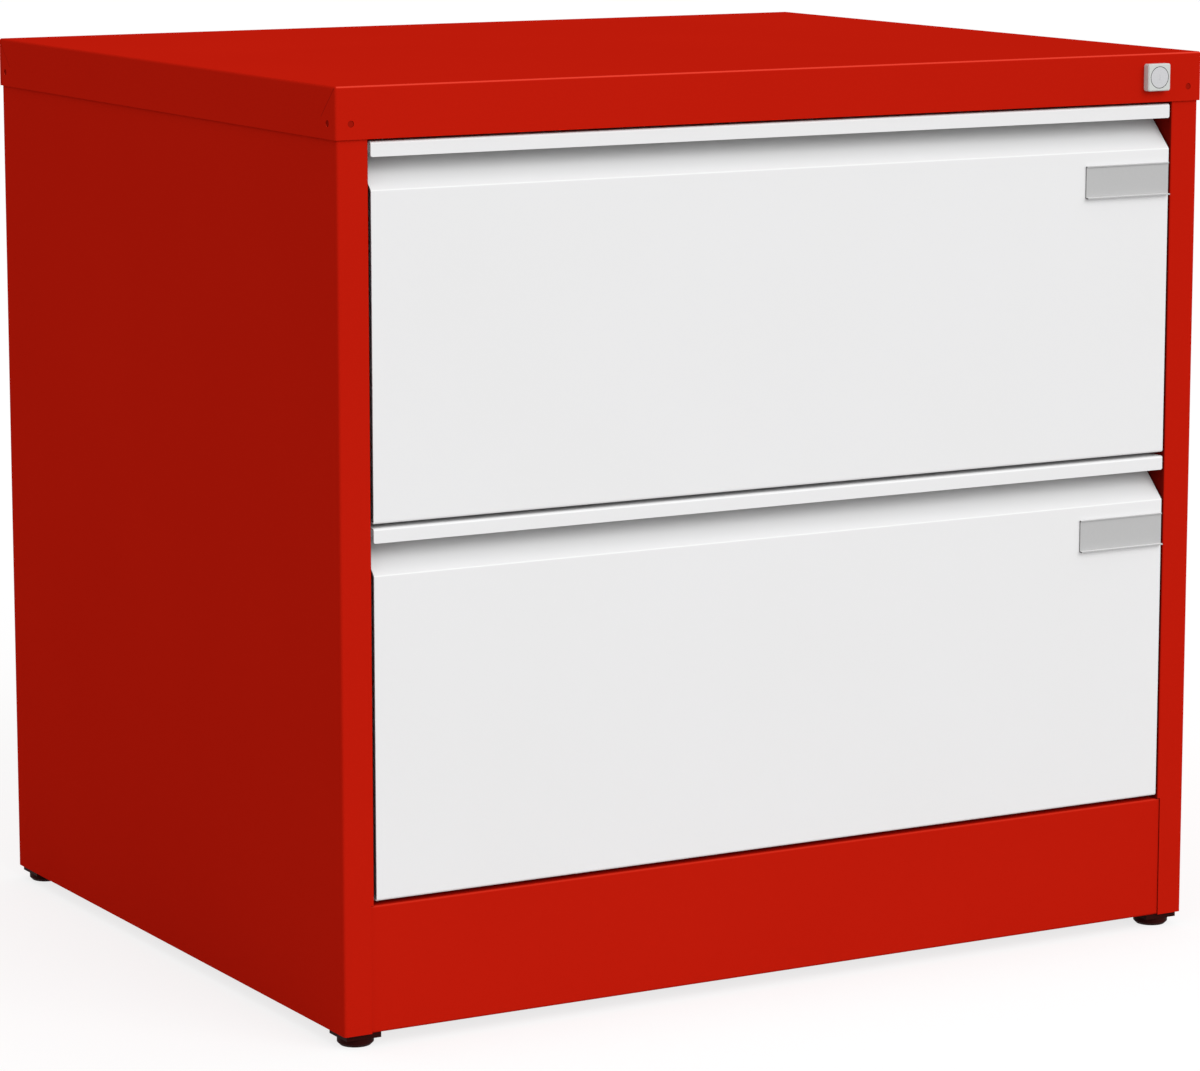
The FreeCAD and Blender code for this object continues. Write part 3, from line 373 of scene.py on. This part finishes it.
finishes["black_plastic"] = moulded_plastic(
    "dark maroon polyamide", "#300907", "#280705", grain_mm=1.5, roughness=0.6, gloss=0.05)
finishes["label_grey"] = moulded_plastic(
    "grey extruded vinyl", "#bfbfbf", "#bababa", grain_mm=2.0, roughness=0.55, gloss=0.15,
    # Painted highlight on the top edge, painted shade on the left end.
    edges=[(UP, LABEL_EDGE_SPREAD, "#f4f4f4"), (LEFTWARDS, LABEL_EDGE_SPREAD, "#6a6a6a")])
finishes["lock_grey"] = moulded_plastic(
    "light grey polyamide", "#d2d5d2", "#cdd0cd", grain_mm=2.0, roughness=0.4, gloss=0.3)
print("plastics:", [finishes[slot].name for slot in ("black_plastic", "label_grey", "lock_grey")])

# %% [markdown]
# The lock's core is a turned plug with a satin nickel face. Turning leaves fine circles round its middle,
# which are too fine for this picture and are drawn a few millimetres apart. A wave texture in rings draws
# them, centred by a Mapping node that moves the pattern to the plug's axis. At a scale of 1 it runs through
# 20 radians per metre, so the scale follows from the distance between two circles. The plug's side gets
# painted shade: all that doesn't face the front gets a dark tone.

# %% Satin nickel core
TURNING_MM = 4.4
WAVE_RADIANS = 20
GAP_SHADE = "#2e2e30"
FACE_NORMAL_Y = -0.9
SIDE_NORMAL_Y = -0.5
core_low, core_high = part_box("lock_core")
core_middle = (core_low + core_high) / 2

material, tree = start_material("satin nickel, turned")
place = add_node(tree, "ShaderNodeTexCoord").outputs["Object"]
centred = add_node(tree, "ShaderNodeMapping", values={"Location": tuple(-part for part in core_middle)},
                   links={"Vector": place})
circles = add_node(tree, "ShaderNodeTexWave",
                   settings={"wave_type": "RINGS", "rings_direction": "Y"},
                   values={"Scale": per_metre(TURNING_MM) * math.tau / WAVE_RADIANS, "Distortion": 0.4},
                   links={"Vector": centred.outputs["Vector"]})
shine = add_node(tree, "ShaderNodeMapRange", values={"To Min": 0.36, "To Max": 0.46},
                 links={"Value": circles.outputs["Fac"]})
tone = add_node(tree, "ShaderNodeMix", settings={"data_type": "RGBA"},
                values={MIX_A: hex_colour("#c0c0c2"), MIX_B: hex_colour("#bcbcbe")},
                links={"Factor": circles.outputs["Fac"]})
# Painted shade on the plug's sides, inside the bore.
normal = add_node(tree, "ShaderNodeTexCoord").outputs["Normal"]
axes = add_node(tree, "ShaderNodeSeparateXYZ", links={"Vector": normal})
turned_away = add_node(tree, "ShaderNodeMapRange",
                       values={"From Min": FACE_NORMAL_Y, "From Max": SIDE_NORMAL_Y},
                       links={"Value": axes.outputs["Y"]})
tone = add_node(tree, "ShaderNodeMix", settings={"data_type": "RGBA"}, values={MIX_B: hex_colour(GAP_SHADE)},
                links={"Factor": turned_away.outputs["Result"], MIX_A: tone.outputs[MIX_RESULT]})
nickel = add_node(tree, "ShaderNodeBsdfPrincipled", values={"Metallic": 1.0},
                  links={"Base Color": tone.outputs[MIX_RESULT], "Roughness": shine.outputs["Result"]})
end_material(tree, nickel)
finishes["lock_nickel"] = material
print("made", material.name, "centred on", [round(part, 4) for part in core_middle])

# %% [markdown]
# The gap round the core gets a fine dark ring of painted shade. The housing's own version of its plastic is
# dark within the bore and a hair beyond its edge. A Mapping node flattens the place along the core's axis,
# and a length then says how far it is from that axis.

# %% Painted shade in the lock's bore
GAP_SHADE_REACH = 0.0005
core_radius = (core_high.x - core_low.x) / 2

bore_name = "light grey polyamide, painted shade in the bore"
bore_shaded_plastic, tree, coat, plain_tone = own_version("lock_grey", bore_name)
place = add_node(tree, "ShaderNodeTexCoord").outputs["Object"]
flat = add_node(tree, "ShaderNodeMapping",
                values={"Location": (-core_middle.x, 0.0, -core_middle.z), "Scale": (1.0, 0.0, 1.0)},
                links={"Vector": place})
away = add_node(tree, "ShaderNodeVectorMath", settings={"operation": "LENGTH"},
                links={0: flat.outputs["Vector"]})
# Painted shade within the bore and a hair beyond the core's edge.
in_bore = add_node(tree, "ShaderNodeMath", settings={"operation": "LESS_THAN"},
                   values={1: core_radius + GAP_SHADE_REACH}, links={0: away.outputs["Value"]})
tone = add_node(tree, "ShaderNodeMix", settings={"data_type": "RGBA"}, values={MIX_B: hex_colour(GAP_SHADE)},
                links={"Factor": in_bore.outputs[0], MIX_A: plain_tone})
tree.links.new(tone.outputs[MIX_RESULT], coat.inputs["Base Color"])
print("dark within", round((core_radius + GAP_SHADE_REACH) * MM_PER_METRE, 2), "mm of the core's axis")

# %% [markdown]
# The record says which slot each CAD piece takes its finish from, so one loop dresses them all. The cover,
# its rivets, the side panels, the drawer fronts and the lock's housing get their own version of it.

# %% Dress the CAD pieces
special = {"top_cover": cover_paint, "cover_rivets": dimple_shaded_paint, "upper_front_skin": grip_shaded_paint,
           "lower_front_skin": grip_shaded_paint, "lock_housing": bore_shaded_plastic, **inside_shaded_paints}
for subpart in frame["record"]["subparts"]:
    piece = frame["nodes"][subpart["node"]]
    piece.data.materials.clear()
    piece.data.materials.append(special.get(subpart["node"], finishes[subpart["material_slot"]]))

# %% [markdown]
# A sprung dust shutter closes the keyway: a sliver of the same nickel, a hair under the face, so that the
# core looks plain from a step away. It starts as a cube at the slot's size, gets soft edges from a bevel,
# and turns with the plug.

# %% Dust shutter in the keyway
SHUTTER_SIZE = (0.00044, 0.0008, 0.0044)
SHUTTER_SINK = 0.00005
SHUTTER_BEVEL = 0.00004

shutter_y = core_low.y + SHUTTER_SINK + SHUTTER_SIZE[1] / 2
shutter_middle = (core_middle.x, shutter_y, core_middle.z)
bpy.ops.mesh.primitive_cube_add(size=1, scale=SHUTTER_SIZE, location=shutter_middle)
shutter = bpy.context.object
shutter.name = "keyway_shutter"
bpy.ops.object.transform_apply(location=True, rotation=True, scale=True)
bpy.ops.object.mode_set(mode="EDIT")
bpy.ops.mesh.select_all(action="SELECT")
bpy.ops.mesh.bevel(offset=SHUTTER_BEVEL, segments=2)
bpy.ops.object.mode_set(mode="OBJECT")
shutter.data.materials.clear()
shutter.data.materials.append(finishes["lock_nickel"])
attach(shutter, "lock_plug")
bpy.ops.object.select_all(action="DESELECT")
print("shutter faces:", len(shutter.data.polygons))

# %% [markdown]
# The cabinet stands on a plain pale floor. For light that bounces, the floor is a pale grey card. What the
# camera, reflections and see-through rays meet is a darker card with some light of its own, so that the
# open floor reads as white and the soft shadow round the feet stays, but only faintly. A helper tells the
# two kinds of ray apart; the room uses it again.

# %% Floor
FLOOR_SIZE = 40.0
CARD_SHARE = 0.5
SEEN_CARD_SHARE = 0.25
FLOOR_GLOW = 0.775


def seen_share(tree):
    """Socket that is 1 for rays from the camera, off a gloss or through glass, and 0 for other light."""
    rays = add_node(tree, "ShaderNodeLightPath")
    seen = rays.outputs["Is Camera Ray"]
    for kind in ("Is Glossy Ray", "Is Transmission Ray"):
        seen = add_node(tree, "ShaderNodeMath", settings={"operation": "MAXIMUM"},
                        links={0: seen, 1: rays.outputs[kind]}).outputs[0]
    return seen


bpy.ops.mesh.primitive_plane_add(size=FLOOR_SIZE, location=(0, 0, 0))
floor = bpy.context.object
floor.name = "studio_floor"
material, tree = start_material("pale studio floor")
seen = seen_share(tree)
paleness = add_node(tree, "ShaderNodeMapRange", values={"To Min": CARD_SHARE, "To Max": SEEN_CARD_SHARE},
                    links={"Value": seen})
card = add_node(tree, "ShaderNodeBsdfDiffuse", links={"Color": paleness.outputs["Result"]})
own_light = add_node(tree, "ShaderNodeMath", settings={"operation": "MULTIPLY"}, values={1: FLOOR_GLOW},
                     links={0: seen})
glow = add_node(tree, "ShaderNodeEmission", links={"Strength": own_light.outputs[0]})
both = add_node(tree, "ShaderNodeAddShader", links={0: card.outputs[0], 1: glow.outputs[0]})
end_material(tree, both)
floor.data.materials.append(material)
print("floor", FLOOR_SIZE, "m wide")

# %% [markdown]
# The light is a plain studio set: one broad, soft key from in front and a little to the right, and an even
# pale room, so that the left side is the darker one. The key is a sun lamp with a wide disc, which gives
# every part of the cabinet the same light. The room is white to the camera and to reflections, and a soft
# fill for the rest.

# %% Light
ROOM_FILL = 0.744
ROOM_SEEN = 1.0
KEY_STRENGTH = 1.35
KEY_FROM = (0.248, -0.831, 0.496)
KEY_DISC = math.radians(50)

tilt = math.atan2(math.hypot(KEY_FROM[0], KEY_FROM[1]), KEY_FROM[2])
turn = math.atan2(KEY_FROM[0], -KEY_FROM[1])
bpy.ops.object.light_add(type="SUN", location=KEY_FROM, rotation=(tilt, 0, turn))
key = bpy.context.object
key.name = "key_light"
key.data.energy = KEY_STRENGTH
key.data.angle = KEY_DISC

world = bpy.data.worlds.new("studio room")
bpy.context.scene.world = world
world.use_nodes = True
tree = world.node_tree
tree.nodes.clear()
level = add_node(tree, "ShaderNodeMapRange", values={"To Min": ROOM_FILL, "To Max": ROOM_SEEN},
                 links={"Value": seen_share(tree)})
room = add_node(tree, "ShaderNodeBackground", values={"Color": hex_colour("#ffffff")},
                links={"Strength": level.outputs["Result"]})
add_node(tree, "ShaderNodeOutputWorld", links={"Surface": room.outputs[0]})
print("key tilt", round(math.degrees(tilt), 1), "turn", round(math.degrees(turn), 1))

# %% [markdown]
# The camera stands about four metres off to the left, a little above the cabinet, with a long lens. Its
# place, angles and focal length were fitted to edges of known size in the photograph.

# %% Camera
EYE = (-1.88471, -3.33020, 0.96812)
YAW = math.radians(29.6617)
PITCH = math.radians(9.7273)
LENS_MM = 139.702
SENSOR_MM = 36.0
VIEW_DEPTH = 100.0

bpy.ops.object.camera_add(location=EYE, rotation=(math.pi / 2 - PITCH, 0, -YAW))
camera = bpy.context.object
camera.data.sensor_width = SENSOR_MM
camera.data.lens = LENS_MM
camera.data.clip_end = VIEW_DEPTH
bpy.context.scene.camera = camera
bpy.context.scene.view_settings.view_transform = "Standard"
print("camera at", EYE)
